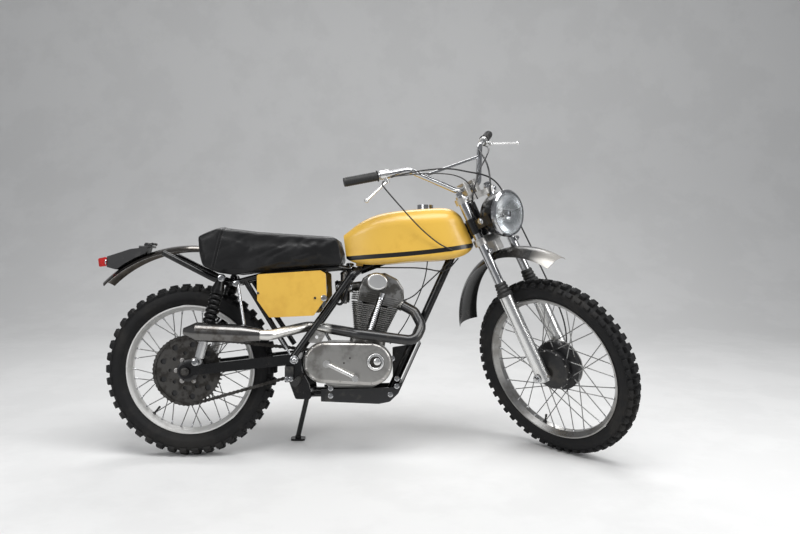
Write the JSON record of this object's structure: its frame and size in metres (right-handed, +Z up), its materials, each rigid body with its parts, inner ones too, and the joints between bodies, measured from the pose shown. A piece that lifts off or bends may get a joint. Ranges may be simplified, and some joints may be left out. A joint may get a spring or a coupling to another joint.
{
  "type": "scrambler motorcycle",
  "caption": "Light trail motorcycle with knobbly tyres, high handlebar, long bench seat and low exhaust, parked on its side stand with the front wheel turned right.",
  "frame": {"origin": "on the floor, under the middle of the bounding box of the parked machine", "axes": "+X towards the front along the rear wheel's plane, +Y to the machine's left, +Z up"},
  "size_m": [1.9988, 0.7838, 1.2614],
  "materials": {
    "ochre_paint": "gloss, worn",
    "black_paint": "gloss, worn",
    "black_satin": "satin, heat stained",
    "cast_alloy": "rough cast, dusty",
    "polished_alloy": "satin",
    "dark_alloy": "rough, dark with bright edges",
    "chrome": "bright, lightly pitted",
    "steel": "oily",
    "rubber": "matt",
    "tyre": "matt, dusty",
    "vinyl": "wrinkled black vinyl",
    "clear_glass": "clear, fluted",
    "red_lens": "gloss",
    "black_plastic": "satin"
  },
  "bodies": {
    "chassis": {"air_box": "black_plastic", "bevel_drive_tube": "chrome", "carburettor": "cast_alloy", "crankcase": "cast_alloy", "cylinder_barrel": "dark_alloy", "cylinder_head": "dark_alloy", "drive_chain": "steel", "exhaust_header": "black_satin", "footrests": "rubber", "fuel_cap": "chrome", "fuel_tank": "ochre_paint", "gear_lever": "polished_alloy", "kick_starter": "chrome", "left_engine_cover": "cast_alloy", "main_frame": "black_paint", "rear_axle": "steel", "rear_brake_pedal": "chrome", "rear_mudguard": "polished_alloy", "rear_shocks": "chrome", "rear_subframe": "black_paint", "right_engine_cover": "cast_alloy", "seat": "vinyl", "side_panels": "ochre_paint", "silencer": "chrome", "silencer_stay": "chrome", "skid_plate": "black_satin", "swingarm": "black_paint", "tail_lamp_body": "black_plastic", "tail_lamp_lens": "red_lens"},
    "steering": {"front_axle": "steel", "front_brake_plate": "cast_alloy", "fork_tubes": "chrome", "fork_boots": "rubber", "fork_sliders": "polished_alloy", "lower_fork_clamp": "black_paint", "upper_fork_clamp": "polished_alloy", "handlebar": "chrome", "handlebar_grips": "rubber", "handlebar_levers": "polished_alloy", "headlamp_bowl": "black_paint", "headlamp_ring": "chrome", "headlamp_lens": "clear_glass", "headlamp_ears": "black_paint", "front_mudguard": "black_paint"},
    "front_wheel": {"front_tyre": "tyre", "front_rim": "polished_alloy", "front_hub": "cast_alloy"},
    "rear_wheel": {"rear_tyre": "tyre", "rear_rim": "polished_alloy", "rear_hub": "cast_alloy", "rear_sprocket": "steel"},
    "side_stand": {"side_stand": "black_paint"}
  },
  "joints": [
    {"name": "steering", "type": "hinge", "parent": "chassis", "child": "steering", "pos_m": [0.44704, -0.01825, 0.86473], "axis": [-0.42, 0.0996, 0.9021], "range_deg": [0, 100]},
    {"name": "front_wheel_spin", "type": "hinge", "parent": "steering", "child": "front_wheel", "pos_m": [0.7311, -0.11826, 0.34287], "axis": [0.6952, 0.6742, 0.2492], "continuous": true},
    {"name": "rear_wheel_spin", "type": "hinge", "parent": "chassis", "child": "rear_wheel", "pos_m": [-0.65114, -0.07787, 0.3247], "axis": [0, 0.994, -0.1097], "continuous": true},
    {"name": "stand_fold", "type": "hinge", "parent": "chassis", "child": "side_stand", "pos_m": [-0.21336, 0.03502, 0.23548], "axis": [-0.0005, -0.9979, -0.0645], "range_deg": [0, 88]}
  ]
}
